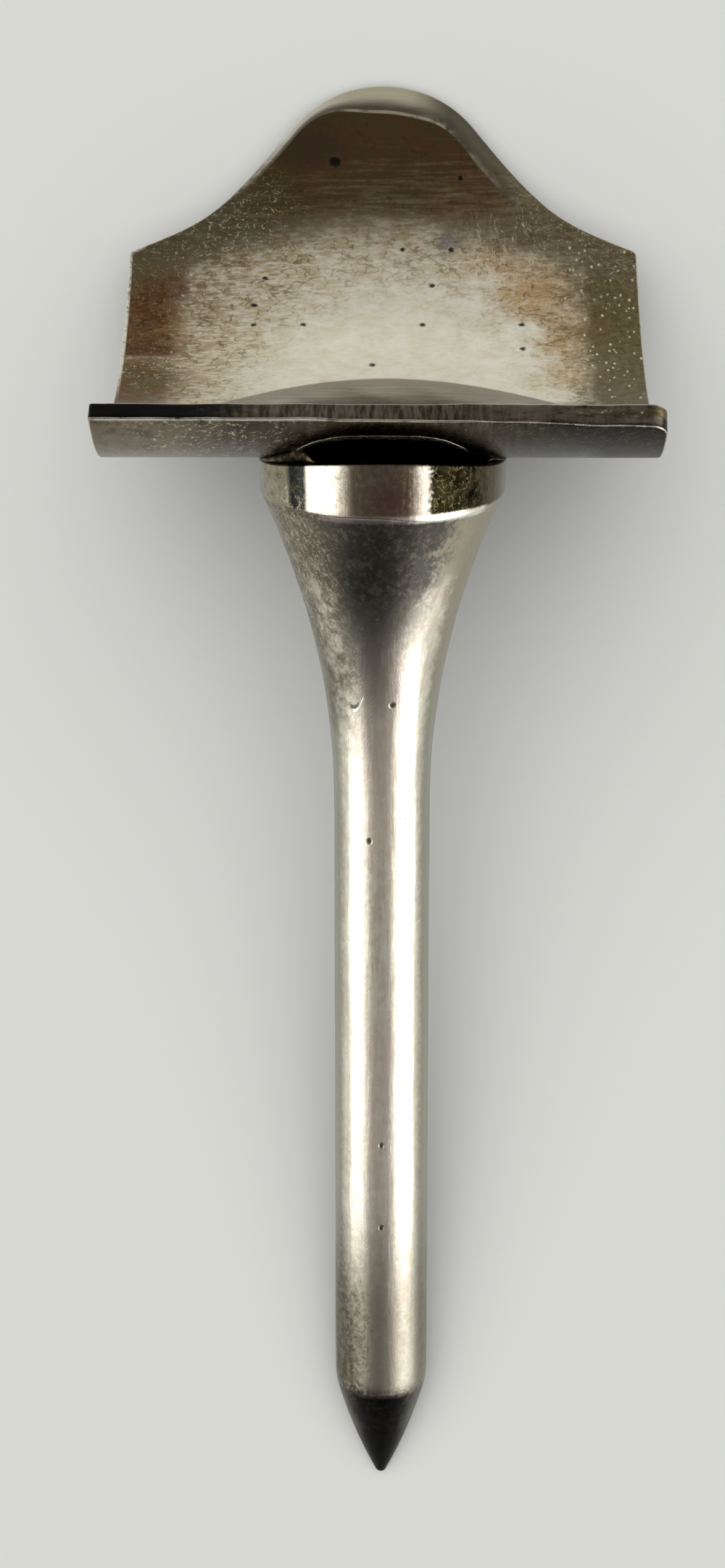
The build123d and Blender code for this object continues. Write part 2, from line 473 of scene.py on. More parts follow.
SOLDER_SPANS = {"solder_left": (-86.0, -35.0), "solder_right": (66.0, 87.0)}


def solder(name, start, end):
    """A small fillet that fills the corner between the rim and the plate and dies away to the front."""
    steps, section = 48, 12
    points = []
    for i, degree in enumerate(np.linspace(start, end, steps)):
        angle = radians(degree)
        t = i / (steps - 1)
        front = t if abs(end) < abs(start) else 1 - t
        full = max(0.03, float(smooth(-0.02, 0.15, front) * smooth(1.0, 0.45, front)))
        low = float(back_bend(-RIM_RADIUS * cos(angle)))
        high = float(front_bend(-RIM_RADIUS * cos(angle)))
        high = low + (high - low) * max(0.03, float(smooth(1.02, 0.72, front)))
        middle, half = (low + high) / 2, (high - low) / 2 + 0.10 * full
        for j in range(section):
            turn = 2 * pi * j / section
            radius = RIM_RADIUS - 0.52 + 0.52 * full * cos(turn) + 0.03 * sin(3 * degree / 9)
            height = middle + half * sin(turn) * (0.9 if cos(turn) > 0 else 1.0)
            points.append((radius * sin(angle), -radius * cos(angle), height))
    faces = []
    for i in range(steps - 1):
        for j in range(section):
            k = (j + 1) % section
            faces.append((i * section + j, (i + 1) * section + j, (i + 1) * section + k, i * section + k))
    faces.append(tuple(range(section)))
    faces.append(tuple(reversed(range((steps - 1) * section, steps * section))))
    node = "solder_fillets" if name == "solder_left" else None
    return make_piece(name, points, faces, node, "solder")


# --- node trees written as expressions ---


class Field:
    """A socket of a node tree.  Arithmetic on it adds math nodes."""

    def __init__(self, graph, socket):
        self.graph, self.socket = graph, socket

    def math(self, operation, *others):
        return self.graph.node("ShaderNodeMath", self, *others, operation=operation)

    def __add__(self, other):
        return self.math("ADD", other)

    def __sub__(self, other):
        return self.math("SUBTRACT", other)

    def __rsub__(self, other):
        return self.graph.node("ShaderNodeMath", other, self, operation="SUBTRACT")

    def __mul__(self, other):
        return self.math("MULTIPLY", other)

    def __truediv__(self, other):
        return self.math("DIVIDE", other)

    def __abs__(self):
        return self.math("ABSOLUTE")

    __radd__, __rmul__ = __add__, __mul__

    def most(self, other):
        return self.math("MAXIMUM", other)

    def least(self, other):
        return self.math("MINIMUM", other)

    def rise(self, low, high):
        """0 below low and 1 above high, smoothly; the other way round where low is above high."""
        return self.graph.node(
            "ShaderNodeMapRange", self, low, high, 0.0, 1.0, interpolation_type="SMOOTHSTEP")

    def near(self, centre, reach):
        """1 within half the reach of a centre, falling smoothly to 0 at the reach."""
        return abs(self - centre).rise(reach, reach / 2)


class Graph:
    """Builds a node tree from expressions of Fields."""

    def __init__(self, tree):
        self.tree = tree

    def plug(self, value, socket):
        if isinstance(value, Field):
            self.tree.links.new(value.socket, socket)
        elif value is not None:
            socket.default_value = value

    def node(self, kind, *inputs, out=0, named=None, **settings):
        node = self.tree.nodes.new(kind)
        for key, value in settings.items():
            setattr(node, key, value)
        for socket, value in zip(node.inputs, inputs):
            self.plug(value, socket)
        for key, value in (named or {}).items():
            self.plug(value, node.inputs[key])
        return Field(self, node.outputs[out])

    def attribute(self, name):
        return self.node("ShaderNodeAttribute", out="Vector", attribute_name=name)

    def split(self, vector):
        first = self.node("ShaderNodeSeparateXYZ", vector)
        return [Field(self, socket) for socket in first.socket.node.outputs]

    def join(self, x, y, z):
        return self.node("ShaderNodeCombineXYZ", x, y, z)

    def noise(self, vector, scale, detail=3.0, roughness=0.55, distortion=0.0):
        named = {"Vector": vector, "Scale": scale, "Detail": detail, "Roughness": roughness,
                 "Distortion": distortion}
        return self.node("ShaderNodeTexNoise", named=named)

    def cells(self, vector, scale):
        """Distance to the nearest of scattered points."""
        named = {"Vector": vector, "Scale": scale}
        return self.node("ShaderNodeTexVoronoi", named=named, out="Distance")

    def mix(self, first, second, share):
        """A colour between two, by share."""
        node = self.tree.nodes.new("ShaderNodeMix")
        node.data_type = "RGBA"
        for index, value in ((0, share), (6, first), (7, second)):
            if isinstance(value, tuple):
                value = (*value, 1.0)
            self.plug(value, node.inputs[index])
        return Field(self, node.outputs[2])

    def spot(self, u, v, centre, reach, soft=0.5):
        """1 inside an ellipse, falling to 0 at its edge."""
        across, along = (u - centre[0]) / reach[0], (v - centre[1]) / reach[1]
        return (across * across + along * along).math("SQRT").rise(1.0, 1.0 - soft)

    def threads(self, vector, scale, width, detail=2.0, distortion=0.0):
        """Thin lines where a noise crosses its middle."""
        return abs(self.noise(vector, scale, detail, 0.5, distortion) - 0.5).rise(width, 0.0)


def silver(name):
    """A metal material and its graph.  finish_silver() plugs its colour, roughness and relief in."""
    material = bpy.data.materials.new(name)
    material.use_nodes = True
    shader = material.node_tree.nodes["Principled BSDF"]
    shader.inputs["Metallic"].default_value = 1.0
    return material, Graph(material.node_tree), shader


def finish_silver(graph, shader, colour, roughness, relief, height):
    """Plugs a colour, a roughness and a relief of that height, in metres, into a shader."""
    graph.plug(colour, shader.inputs["Base Color"])
    graph.plug(roughness, shader.inputs["Roughness"])
    bump = graph.node("ShaderNodeBump", named={"Height": relief, "Distance": height, "Strength": 1.0})
    graph.plug(bump, shader.inputs["Normal"])


# --- materials ---

BARE = (0.88, 0.85, 0.74)
CREAM = (0.78, 0.72, 0.55)
TAN = (0.50, 0.39, 0.23)
BROWN = (0.22, 0.155, 0.085)
ORANGE = (0.52, 0.30, 0.11)
OLIVE = (0.17, 0.14, 0.065)
DARK_OLIVE = (0.095, 0.067, 0.025)
MAUVE = (0.62, 0.52, 0.45)
BLACK = (0.015, 0.012, 0.009)

# the pits that show most on the plate's inside, as x and run, and one wider stain on the dome
PITS = ((-6.5, 12.5), (-6.5, 14.0), (-6.0, 16.0), (-4.0, 12.5), (-0.5, 9.0), (1.0, 18.0), (2.0, 12.5),
        (2.5, 15.5), (3.5, 18.0), (4.0, 22.5), (7.0, 10.5), (7.0, 12.5))
PIT_RADIUS = 0.2
STAIN = (-2.5, 23.5)
STAIN_RADIUS = 0.45

# specks down the front of the spike, as turn in degrees and up
SPECKS = ((10.0, -11.5), (-15.0, -18.5), (0.0, -34.5), (0.0, -39.0))
SPECK_REACH = (4.0, 0.2)


def plate_silver():
    """Tarnished silver, with its stains and its painted shade, reflections and highlights placed by x, run
    and depth in the sheet.
    """
    material, g, shader = silver("worn_plate_with_painted_light")
    x, run, depth = g.split(g.attribute("sheet"))
    edge = g.node("ShaderNodeAttribute", out="Fac", attribute_name="edge_distance")
    share = g.node("ShaderNodeAttribute", out="Fac", attribute_name="bevel_share")
    flat = g.join(x, run, depth * 3.0)
    inside = depth.rise(0.45, 0.6)
    outside = depth.rise(0.25, 0.02)

    drift = g.noise(flat, 0.35, 3.0)
    mottle = g.noise(flat, 1.1, 5.0, 0.65)
    fine = g.noise(flat, 3.2, 4.0, 0.7)
    grain = g.noise(flat, 7.0, 4.0, 0.7)
    streaks = g.noise(g.join(x * 0.10, run, depth), 4.0, 5.0, 0.65)
    upright = g.noise(g.join(x, run * 0.12, depth), 2.4, 4.0, 0.6)
    brushed = g.noise(g.join(x * 0.35 + run * 0.2, run - x * 0.2, depth), 5.0, 3.0, 0.6)
    ragged = (mottle - 0.5) * 2.4 + (fine - 0.5) * 2.4
    rough_x = x + ragged + (drift - 0.5) * 2.0
    rough_run = run + ragged * 0.8 + (drift - 0.5) * 1.5

    # the trough: bright and cream in the middle, tan and mottled all round
    colour = g.mix(BARE, CREAM, (mottle * 0.7 + brushed * 0.4).rise(0.4, 0.75))
    dashes = g.noise(g.join(x * 0.3 - run * 0.12, run, depth), 5.5, 4.0, 0.7)
    bright = g.spot(rough_x, rough_run, (1.0, 5.5), (10.4, 14.3), 0.5)
    spots = (mottle * 0.7 + dashes * 1.3).rise(0.78, 1.2)
    colour = g.mix(colour, TAN, (1.0 - bright) * (spots * 0.6 + 0.35))
    dull = (1.0 - g.spot(rough_x, rough_run, (0.8, 5.5), (12.2, 18.5), 0.35)) * (spots * 0.6 + 0.25)
    colour = g.mix(colour, BROWN, dull)
    # tarnish towards the sides
    left = rough_x.rise(-9.4, -11.4) * run.rise(9.6, 10.0) * rough_run.rise(19.5, 15.5)
    colour = g.mix(colour, g.mix((0.052, 0.015, 0.004), (0.15, 0.075, 0.026), spots), left * 0.97)
    rust = rough_x.near(-11.3, 1.6) * rough_run.near(13.0, 6.5) * fine.rise(0.4, 0.55)
    colour = g.mix(colour, (0.10, 0.045, 0.016), rust * 0.6)
    corner = g.spot(rough_x, run, (-12.8, 6.9), (3.9, 4.2), 0.6) * run.rise(9.8, 9.5)
    colour = g.mix(colour, g.mix((0.12, 0.06, 0.012), (0.10, 0.08, 0.03), mottle.rise(0.4, 0.62)), corner)
    right = (x + ragged * 0.9).rise(8.7, 10.8)
    moss = g.mix((0.085, 0.068, 0.022), (0.16, 0.125, 0.055), fine.rise(0.4, 0.62))
    colour = g.mix(colour, moss, right * 0.92)
    for centre, reach, strength in (((7.6, 14.9), (2.8, 3.2), 0.75), ((9.5, 11.6), (2.2, 3.0), 0.6),
                                    ((9.3, 8.0), (3.0, 2.2), 0.55), ((6.0, 17.4), (2.2, 1.8), 0.45),
                                    ((-10.6, 12.2), (1.4, 2.6), 0.22)):
        patch = g.spot(rough_x, rough_run, centre, reach, 0.9)
        patch = patch * (1.0 - right * 0.8) * (fine.rise(0.3, 0.6) * 0.5 + 0.4)
        colour = g.mix(colour, ORANGE, patch * strength)
    # the shoulders, dull olive
    outer = abs(x).rise(5.5, 8.0)
    shoulder = (abs(rough_x) * 0.42 + rough_run).rise(19.6, 22.2)
    worn_olive = g.mix((0.13, 0.105, 0.05), (0.24, 0.205, 0.13), (streaks * 0.6 + fine * 0.5).rise(0.4, 0.68))
    worn_olive = g.mix(worn_olive, (0.075, 0.062, 0.03), x.rise(-2.0, -6.0) * 0.6)
    colour = g.mix(colour, worn_olive, shoulder * 0.92)
    # the dome, dark brown and olive with streaks along it
    ledge = (rough_run * 0.4 + run * 0.6 + (streaks - 0.5) * 2.4).rise(19.2, 20.6)
    lighter = (streaks - 0.5) * 2.4 + (fine - 0.5) * 0.9 + (23.2 - run) * 0.14 + x * 0.035 + 0.12
    light_brown = g.mix(BROWN, (0.30, 0.24, 0.15), mottle.rise(0.4, 0.65))
    tarnish = g.mix(DARK_OLIVE, light_brown, lighter.rise(0.05, 1.0))
    tarnish = g.mix(tarnish, (0.13, 0.05, 0.032), drift.rise(0.42, 0.6) * mottle.rise(0.4, 0.6) * 0.6)
    tarnish = g.mix(tarnish, (0.05, 0.036, 0.014), mottle.rise(0.52, 0.66) * fine.rise(0.45, 0.55) * 0.6)
    wine = g.spot(rough_x, rough_run, (-3.6, 24.4), (3.2, 2.2), 0.9)
    tarnish = g.mix(tarnish, (0.06, 0.035, 0.03), wine * 0.6)
    colour = g.mix(colour, tarnish, ledge * (1.0 - outer * 0.8) * 0.96)
    # the dome's worn bevel: cream over the top, bright on the left, and painted grey on the right as a
    # painted reflection of the floor
    bevel = share.rise(1.12, 0.98) * run.rise(20.0, 21.5) * (1.0 - abs(rough_x).rise(4.5, 8.0)) * inside
    crown = g.mix(CREAM, (0.17, 0.13, 0.10), share.rise(0.4, 0.85) * 0.95 + (streaks - 0.5) * 0.6)
    worn_left = g.mix(BARE, (0.20, 0.165, 0.115), share.rise(0.42, 0.85) * 0.9)
    filed = g.mix(crown, worn_left, x.rise(-1.6, -3.2))
    inner_share = share.rise(0.6, 1.0) * mottle.rise(0.35, 0.6)
    # painted reflection: the bevel's right flank is painted grey
    right_bevel_reflection = g.mix((0.13, 0.12, 0.09), (0.42, 0.38, 0.29), inner_share)
    filed = g.mix(filed, right_bevel_reflection, x.rise(1.0, 3.6) * 0.95)
    colour = g.mix(colour, filed, bevel * 0.92)
    # painted highlight: a cream line along the bevel's inner edge over the top
    bevel_edge_highlight = share.near(1.02, 0.08) * x.near(0.6, 4.0) * run.rise(22.0, 24.0) * inside
    colour = g.mix(colour, CREAM, bevel_edge_highlight * mottle.rise(0.3, 0.5) * 0.6)
    smudge = g.spot(rough_x, rough_run, (3.2, 18.4), (1.2, 1.2), 0.9)
    colour = g.mix(colour, (0.20, 0.17, 0.20), smudge * 0.7)
    # painted reflection of the dark dome: a dull lens low in the trough, under an arc
    arc = run + (x - 0.3) * (x - 0.3) * 0.043
    lens = arc.rise(7.7, 7.5) * run.rise(1.0, 4.0)
    lens = lens * (0.82 + arc.rise(6.0, 7.4) * 0.3 + (streaks - 0.5)) * inside
    colour = g.mix(colour, (0.33, 0.285, 0.23), lens)
    # the left side's edge, rubbed bright
    rubbed = edge.rise(0.22, 0.12) * x.rise(-12.0, -12.6) * run.near(13.5, 9.0) * inside
    colour = g.mix(colour, BARE, rubbed * 0.85)

    # worn flecks and hairs of bare metal, and pits
    flecks = g.threads(g.join(x * 0.8 + run * 0.6, run - x * 0.5, depth), 2.3, 0.028, 3.0, 0.6)
    flecks = flecks * fine.rise(0.46, 0.58)
    worn = (rough_x.rise(-3.0, -6.5) * rough_run.near(14.5, 10.0)).most(shoulder * outer * 0.7)
    worn = worn.most(rough_run.near(17.6, 2.6) * 0.45)
    golden = g.mix((0.80, 0.70, 0.50), (0.50, 0.32, 0.14), left * 0.9)
    colour = g.mix(colour, golden, flecks * worn * (0.85 - left * 0.35))
    dark_flecks = g.threads(g.join(run * 0.7 - x * 0.3, x * 0.5 + run * 0.3, depth), 2.2, 0.05, 3.0, 0.5)
    dark_flecks = dark_flecks * (1.0 - bright) * mottle.rise(0.4, 0.55) * rough_run.rise(20.0, 18.0)
    colour = g.mix(colour, (0.17, 0.115, 0.06), dark_flecks * 0.8)
    specks = g.cells(g.join(x, run * 0.6, depth), 3.0).rise(0.26, 0.12) * fine.rise(0.42, 0.52)
    specks = specks * (x + ragged * 0.5).rise(8.2, 10.0) * run.rise(21.0, 18.5)
    colour = g.mix(colour, (0.80, 0.74, 0.50), specks * inside * 0.9)
    hairs = g.threads(g.join(x + run * 0.12, run * 0.18, depth), 3.2, 0.012) * rough_x.near(6.2, 2.6)
    hairs = hairs * run.near(17.2, 4.0)
    colour = g.mix(colour, (0.95, 0.72, 0.58), hairs * 0.8)
    pits = g.cells(flat, 1.5).rise(0.05, 0.025) * mottle.rise(0.35, 0.6) * run.near(12.0, 16.0) * 0.7
    wobble_x, wobble_run = x + (grain - 0.5) * 0.3, run + (fine - 0.5) * 0.4
    for pit in PITS:
        pits = pits.most(g.spot(wobble_x, wobble_run, pit, (PIT_RADIUS, PIT_RADIUS), 0.6))
    pits = pits.most(g.spot(wobble_x, wobble_run, STAIN, (STAIN_RADIUS, STAIN_RADIUS), 0.6))
    pits = pits * inside
    colour = g.mix(colour, BLACK, pits * 0.92)

    # the outside: dull olive and brown under the lip, plain worn silver on the back
    lip = run.rise(1.5, -2.0)
    blotches = (mottle * 0.6 + drift * 0.6).rise(0.45, 0.75)
    behind = g.mix(g.mix(BARE, CREAM, mottle), g.mix(TAN, BROWN, mottle.rise(0.4, 0.65)), blotches * 0.75)
    smeared = g.mix((0.08, 0.06, 0.038), (0.12, 0.10, 0.075), drift.rise(0.45, 0.6))
    under = g.mix((0.045, 0.034, 0.018), smeared, upright.rise(0.35, 0.7))
    under = g.mix(under, (0.22, 0.18, 0.13), x.rise(-6.0, -10.0) * mottle.rise(0.3, 0.55) * 0.75)
    under = g.mix(under, (0.018, 0.014, 0.011), x.rise(4.0, 9.0) * 0.9)
    scratch = g.threads(g.join(x + run * 0.8, run * 0.5 - x * 0.3, depth), 1.8, 0.022, 4.0, 0.4)
    under = g.mix(under, CREAM, scratch * fine.rise(0.4, 0.6) * (0.12 + x.near(-7.5, 4.5) * 0.7))
    # along the joint: painted shadow of the gap and painted reflection of the dark cup, with a painted
    # highlight along its brim
    gap_arc = run - (x * x) * (x * x) * 0.0074 + (mottle - 0.5) * 0.25
    painted_gap_shade = gap_arc.rise(-6.0, -5.9) * abs(x).rise(5.2, 4.4)
    # painted reflection of the dark cup: dark brown round the gap
    under = g.mix(under, (0.062, 0.042, 0.018), gap_arc.rise(-8.0, -6.2) * abs(x).rise(7.0, 3.0) * 0.85)
    under = g.mix(under, (0.006, 0.004, 0.002), painted_gap_shade)
    # painted highlight: a bright line along the brim of the gap
    brim_highlight = gap_arc.near(-6.09, 0.30) * abs(x).rise(4.4, 3.6)
    under = g.mix(under, (0.95, 0.9, 0.75), brim_highlight)
    behind = g.mix(behind, under, lip)
    colour = g.mix(behind, colour, inside)
    # the lip's own edge is grey with file marks on the right, and painted almost black on the left as a
    # painted reflection
    cut = run.rise(-7.0, -7.3) * (1.0 - inside) * (1.0 - outside)
    cut = cut.most(run.rise(-7.42, -7.5) * depth.rise(0.0, 0.03))
    file_marks = g.noise(g.join(x, depth * 0.15, run * 0.1), 5.0, 3.0, 0.6)
    grey = g.mix((0.035, 0.028, 0.018), (0.15, 0.125, 0.095), file_marks.rise(0.35, 0.7))
    grey = g.mix(grey, (0.24, 0.20, 0.165), x.rise(3.0, 7.0) * mottle.rise(0.3, 0.6) * 0.8)
    # painted reflection: the left of the lip's edge is almost black
    lip_dark_reflection = (x + (mottle - 0.5) * 6.0).rise(-4.0, -8.5)
    colour = g.mix(colour, g.mix(grey, (0.003, 0.002, 0.001), lip_dark_reflection), cut)
    # edges rubbed bright
    rim = edge.rise(0.085, 0.0) * depth.rise(0.075, 0.035).most(depth.rise(0.95, 1.02))
    colour = g.mix(colour, BARE, rim * mottle.rise(0.25, 0.5) * 0.8)

    roughness = 0.17 + (mottle - 0.5) * 0.14 + ledge * 0.12 + shoulder * 0.12 + right * 0.12 + pits * 0.3
    roughness = roughness + lip * outside * 0.10 + cut * 0.12 + rough_run.rise(9.0, 15.0) * 0.08
    roughness = roughness - painted_gap_shade * lip * outside * 0.12
    relief = mottle * 0.5 + fine * 0.35 + grain * 0.2 + streaks * 0.4 * run.rise(17.0, 20.0)
    relief = relief + flecks * worn * 0.5
    relief = relief - pits * 3.0 - scratch * outside * 0.4 + file_marks * cut * 0.8 + specks * 0.5
    relief = relief * (0.45 + rough_run.rise(8.5, 12.5).most(lip) * 0.55) + brim_highlight * lip * outside * 5.0
    finish_silver(g, shader, colour, roughness, relief, 0.012 * MM)
    return material


def spike_silver():
    """Tarnished silver, with its stains and its painted reflections, shade and highlights placed by the turn
    round the axis and by up.
    """
    material, g, shader = silver("worn_spike_with_painted_light")
    tool = g.attribute("tool")
    x, back, up = g.split(tool)
    turn = x.math("ARCTAN2", back * -1.0) * degrees(1.0)
    drift = g.noise(tool, 0.3, 3.0)
    mottle = g.noise(tool, 1.3, 5.0, 0.65)
    fine = g.noise(tool, 3.5, 4.0, 0.7)
    grain = g.noise(tool, 8.0, 4.0, 0.7)
    lathe = g.noise(g.join(x * 0.15, back * 0.15, up), 5.0, 3.0, 0.6)
    along = g.noise(g.join(x, back, up * 0.1), 2.4, 4.0, 0.6)
    rough_turn = turn + (mottle - 0.5) * 34.0 + (fine - 0.5) * 20.0
    rough_up = up + (mottle - 0.5) * 2.4 + (fine - 0.5) * 1.2

    colour = g.mix(BARE, CREAM, mottle.rise(0.35, 0.75) * 0.8)
    stains = (along * 0.6 + mottle * 0.4).rise(0.40, 0.62)
    colour = g.mix(colour, MAUVE, stains * 0.6)
    # the stem: a mauve stain along its middle, dull along its sides and towards the tip
    middle = rough_turn.near(-2.0, 34.0)
    colour = g.mix(colour, (0.80, 0.70, 0.64), middle * rough_up.near(-33.5, 9.0) * 0.4)
    colour = g.mix(colour, (0.72, 0.60, 0.54), middle * rough_up.near(-13.5, 8.0) * 0.45)
    colour = g.mix(colour, (0.31, 0.30, 0.245), abs(turn + (fine - 0.5) * 16.0 + 2.0).rise(44.0, 62.0) * 0.9)
    colour = g.mix(colour, (0.12, 0.12, 0.095), abs(turn).rise(70.0, 84.0) * 0.8)
    lower = (rough_up - (mottle - 0.5) * 3.0).rise(-36.5, -44.5)
    worn_lower = g.mix((0.05, 0.044, 0.03), (0.19, 0.17, 0.125), (along * 0.5 + fine * 0.7).rise(0.48, 0.74))
    to_left = rough_turn.rise(-6.0, -36.0)
    colour = g.mix(colour, worn_lower, lower * (0.55 + to_left * 0.42))
    colour = g.mix(colour, (0.26, 0.235, 0.19), lower * rough_turn.near(4.0, 24.0) * 0.6)
    # painted reflections: the tip and the top of the flare are painted dark, the tip with lighter sides
    tip = (up + (fine - 0.5) * 0.5).rise(-47.95, -48.8)
    tip_reflection = g.mix((0.022, 0.020, 0.016), (0.004, 0.003, 0.003), (mottle + fine).rise(0.75, 1.1))
    tip_reflection = g.mix(tip_reflection, (0.16, 0.135, 0.10), rough_turn.rise(-36.0, -62.0) * 0.8)
    tip_reflection = g.mix(tip_reflection, (0.16, 0.155, 0.135), rough_turn.rise(30.0, 58.0) * 0.8)
    tip_reflection = g.mix(tip_reflection, (0.002, 0.002, 0.002), up.rise(-50.0, -52.0) * 0.9)
    colour = g.mix(colour, tip_reflection, tip)
    chipped = up.near(-48.2, 0.35) * fine.rise(0.48, 0.62)
    colour = g.mix(colour, (0.40, 0.36, 0.28), chipped * 0.6)
    # painted reflection: the top of the flare is painted dark
    top = rough_up.rise(-10.5, -5.5) * up.rise(-1.62, -1.8)
    flare_top_reflection = g.mix((0.045, 0.045, 0.04), (0.17, 0.14, 0.11), (fine + mottle).rise(0.95, 1.3))
    narrowing = 1.0 + up.rise(-4.0, -7.0) * 0.4
    colour = g.mix(colour, flare_top_reflection, top * ((rough_turn + 3.0) * narrowing).near(0.0, 62.0) * 0.92)
    side = abs(rough_turn + 4.0) - up.rise(-3.5, -7.0) * 16.0
    side = side.rise(34.0, 52.0) * rough_up.rise(-15.0, -8.0) * up.rise(-1.62, -1.8)
    colour = g.mix(colour, (0.33, 0.285, 0.20), side * 0.7)
    dull_left = rough_up.near(-6.0, 9.0) * rough_turn.rise(-20.0, -32.0) * up.rise(-1.62, -1.8)
    colour = g.mix(colour, (0.13, 0.11, 0.08), dull_left * (0.5 + mottle.rise(0.4, 0.6) * 0.4))
    # the collar: brown and reddish in front, olive to the right, pale to the left, each partly tarnish and
    # partly painted reflection, and a near-black band on the left that is painted reflection
    collar = up.rise(-1.72, -1.6)
    red = g.spot(rough_turn, up, (4.0, -0.7), (16.0, 1.2), 0.9)
    blush = g.mix((0.085, 0.055, 0.034), (0.075, 0.022, 0.018), red)
    blush = g.mix(blush, (0.17, 0.14, 0.11), fine.rise(0.48, 0.65) * 0.55)
    colour = g.mix(colour, blush, collar * (turn + (fine - 0.5) * 7.0).near(-0.5, 24.0) * 0.93)
    # olive to the right, near black: partly tarnish and partly painted reflection
    green = g.mix((0.004, 0.003, 0.001), (0.024, 0.020, 0.009), (mottle * 0.7 + fine * 0.5).rise(0.48, 0.76))
    green = g.mix(green, (0.085, 0.07, 0.038), rough_turn.rise(42.0, 56.0) * 0.85)
    colour = g.mix(colour, green, collar * (turn + (fine - 0.5) * 9.0).rise(19.5, 23.5))
    # pale to the left: partly tarnish and partly painted reflection of the shaded floor
    pale = g.mix((0.30, 0.265, 0.18), (0.10, 0.09, 0.055), (mottle * 0.6 + fine * 0.6).rise(0.55, 0.75))
    colour = g.mix(colour, pale, collar * rough_turn.rise(-45.0, -50.0) * 0.95)
    # painted reflection: a near-black band on the left of the collar
    slate_reflection = (turn + (fine - 0.5) * 3.0).near(-43.0, 8.0)
    colour = g.mix(colour, (0.022, 0.024, 0.022), collar * slate_reflection)
    colour = g.mix(colour, OLIVE, collar * g.threads(tool, 2.0, 0.03, 3.0, 0.5) * fine.rise(0.4, 0.5) * 0.5)
    # the ridge at the collar's foot: painted shade dulls it on the left and in front, bare metal to the right
    ridge = (up + 1.78 + (fine - 0.5) * 0.2).near(0.0, 0.26)
    ridge_shade_tone = g.mix((0.13, 0.10, 0.08), (0.36, 0.30, 0.29), rough_turn.near(-2.0, 34.0))
    colour = g.mix(colour, ridge_shade_tone, ridge * rough_turn.rise(26.0, 12.0) * 0.9)
    colour = g.mix(colour, BARE, ridge * rough_turn.near(36.0, 30.0) * 0.9)
    # a pale scuff across the top of the flare
    scuff = g.spot(rough_turn, rough_up, (-5.0, -5.9), (15.0, 1.1), 0.9)
    colour = g.mix(colour, (0.34, 0.30, 0.27), scuff * fine.rise(0.35, 0.6) * 0.6)

    # crossed scratches, faint on the top of the flare and plain on its left
    crossed = g.threads(g.join(x + up * 0.7, back, (up - x * 0.7) * 0.16), 4.2, 0.04, 2.0, 0.2)
    second = g.threads(g.join(x - up * 0.8, back, (up + x * 0.8) * 0.14), 3.8, 0.035, 2.0, 0.2)
    patch = rough_up.near(-5.0, 5.5) * rough_turn.rise(-24.0, -42.0)
    scored = (crossed + second).least(1.0) * fine.rise(0.4, 0.58)
    colour = g.mix(colour, (0.85, 0.76, 0.58), scored * (0.10 + patch * 0.5) * top.most(patch))
    specks = g.cells(tool, 0.9).rise(0.03, 0.012) * mottle.rise(0.4, 0.5)
    for speck in SPECKS:
        specks = specks.most(g.spot(turn, up, speck, SPECK_REACH, 0.6))
    colour = g.mix(colour, BLACK, specks * 0.9)
    # a nick low on the flare: a curved cut in painted shade, with a painted highlight on its lower lip
    nick_x, nick_up = turn + 30.0, up + 11.6
    bow_line = nick_up - nick_x * nick_x * 0.006 + 0.25
    nick = bow_line.near(0.0, 0.11) * nick_x.near(4.0, 8.0)
    colour = g.mix(colour, BLACK, bow_line.near(0.16, 0.14) * nick_x.near(1.0, 7.0) * 0.7)
    colour = g.mix(colour, (0.96, 0.94, 0.88), nick)

    roughness = 0.21 + (mottle - 0.5) * 0.14 + top * 0.10 + lower * 0.12
    roughness = roughness - collar * 0.06 + specks * 0.3 + patch * 0.08 + tip * 0.1
    relief = mottle * 0.35 + fine * 0.2 + grain * 0.12 + along + lathe * 0.08
    relief = relief - specks * 2.5 - nick * 1.5
    relief = relief - scored * 0.3 * (0.3 + patch) + lower * fine * 0.5
    finish_silver(g, shader, colour, roughness, relief, 0.013 * MM)
    return material


def solder_metal():
    """Dark, lumpy solder."""
    material, g, shader = silver("worn_solder")
    tool = g.attribute("tool")
    mottle = g.noise(tool, 2.2, 4.0, 0.6)
    colour = g.mix((0.12, 0.095, 0.055), (0.015, 0.012, 0.006), mottle.rise(0.35, 0.6))
    finish_silver(g, shader, colour, 0.32 + mottle * 0.2, mottle, 0.03 * MM)
    return material


# --- the pieces ---

spike().data.materials.append(spike_silver())
plate().data.materials.append(plate_silver())
joint = solder_metal()
for label, (first, last) in SOLDER_SPANS.items():
    solder(label, first, last).data.materials.append(joint)

# --- floor, light and camera ---


FLOOR_SIZE = 6
FLOOR_COLOUR = (0.775, 0.782, 0.74, 1)
BACKDROP_COLOUR = (0.69, 0.70, 0.67)


def floor():
    """The plain pale floor, matt."""
    bpy.ops.mesh.primitive_plane_add(size=FLOOR_SIZE)
    ground = bpy.context.object
    ground.name = "floor"
    material = bpy.data.materials.new("floor")
    material.use_nodes = True
    shader = material.node_tree.nodes["Principled BSDF"]
    shader.inputs["Base Color"].default_value = FLOOR_COLOUR
    shader.inputs["Roughness"].default_value = 1.0
    shader.inputs["Specular IOR Level"].default_value = 0.0
    ground.data.materials.append(material)


def heading(azimuth, elevation):
    """A direction: azimuth in degrees from -Y towards +X."""
    a, e = radians(azimuth), radians(elevation)
    return (sin(a) * cos(e), -cos(a) * cos(e), sin(e))


# lights round the room: azimuth, elevation, full and fading reach in degrees, and strength
LIGHTS = ((-72.0, 24.0, 10.0, 36.0, 1.25), (68.0, 20.0, 24.0, 41.0, 1.5))
SHADE = (-12.0, -6.0, 27.0, 54.0)  # someone who stands at the tool's point


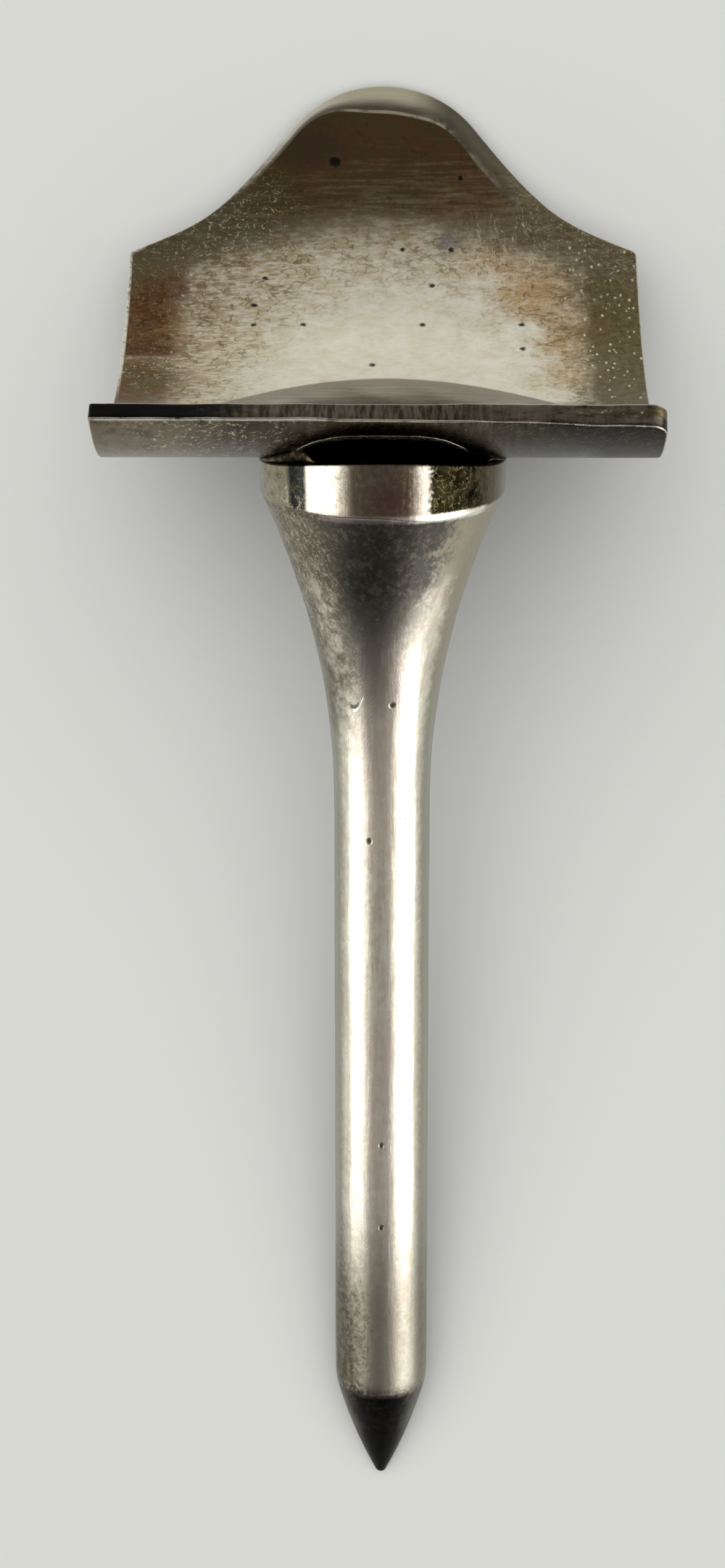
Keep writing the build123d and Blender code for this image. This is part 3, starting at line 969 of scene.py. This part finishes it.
def studio():
    """A pale room, bright at its sides, dim overhead and dark where someone leans over the table."""
    world = bpy.data.worlds.new("studio")
    world.use_nodes = True
    bpy.context.scene.world = world
    g = Graph(world.node_tree)
    background = world.node_tree.nodes["Background"]
    direction = g.node("ShaderNodeTexCoord", out="Generated")
    x, y, z = g.split(direction)

    def lobe(azimuth, elevation, full, fading):
        aim = g.node("ShaderNodeVectorMath", direction, heading(azimuth, elevation),
                     operation="DOT_PRODUCT", out="Value")
        return aim.rise(cos(radians(fading)), cos(radians(full)))

    low = z.rise(sin(radians(31)), sin(radians(22)))
    light = 0.22 + y.rise(0.1, -0.4) * 0.12 + x * x * 0.7 + low * 0.38
    for azimuth, elevation, full, fading, strength in LIGHTS:
        light = light + lobe(azimuth, elevation, full, fading) * strength
    light = light * (1.0 - lobe(*SHADE) * 0.97)
    tint = g.mix((1.0, 0.97, 0.92), (1.0, 1.0, 0.97), z.rise(0.8, 0.3))
    room = g.node("ShaderNodeVectorMath", tint, operation="SCALE", named={"Scale": light})
    # a plain soft dome lights the floor, and the backdrop is plain too
    paths = g.node("ShaderNodeLightPath").socket.node.outputs
    soft = (0.04 + (z * z) * (z * z) * 2.56) * (1.0 - x * 0.35)
    lit = g.mix(room, soft, Field(g, paths["Is Diffuse Ray"]))
    seen = g.mix(lit, BACKDROP_COLOUR, Field(g, paths["Is Camera Ray"]))
    g.plug(seen, background.inputs["Color"])
    world.cycles.sampling_method = "NONE"
    bpy.context.scene.cycles.caustics_reflective = False


LENS = 77.11
EYE = (-0.00005, -0.00016, 0.17598)  # above the middle of the tool
AIM = (-0.0055, -0.0007, -1)
TO_RIGHT = (1, 0.00175, -0.0054)  # the picture's right, before it is squared to the aim


def camera():
    """The camera, straight above the tool."""
    data = bpy.data.cameras.new("camera")
    data.lens = LENS
    data.clip_start = 0.01
    eye = bpy.data.objects.new("camera", data)
    bpy.context.scene.collection.objects.link(eye)
    eye.location = EYE
    forward = Vector(AIM).normalized()
    right = Vector(TO_RIGHT)
    right = (right - right.dot(forward) * forward).normalized()
    above = right.cross(forward)
    eye.rotation_euler = Matrix((right, above, -forward)).transposed().to_euler()
    bpy.context.scene.camera = eye


floor()
studio()
camera()
bpy.context.scene.view_settings.view_transform = "Standard"
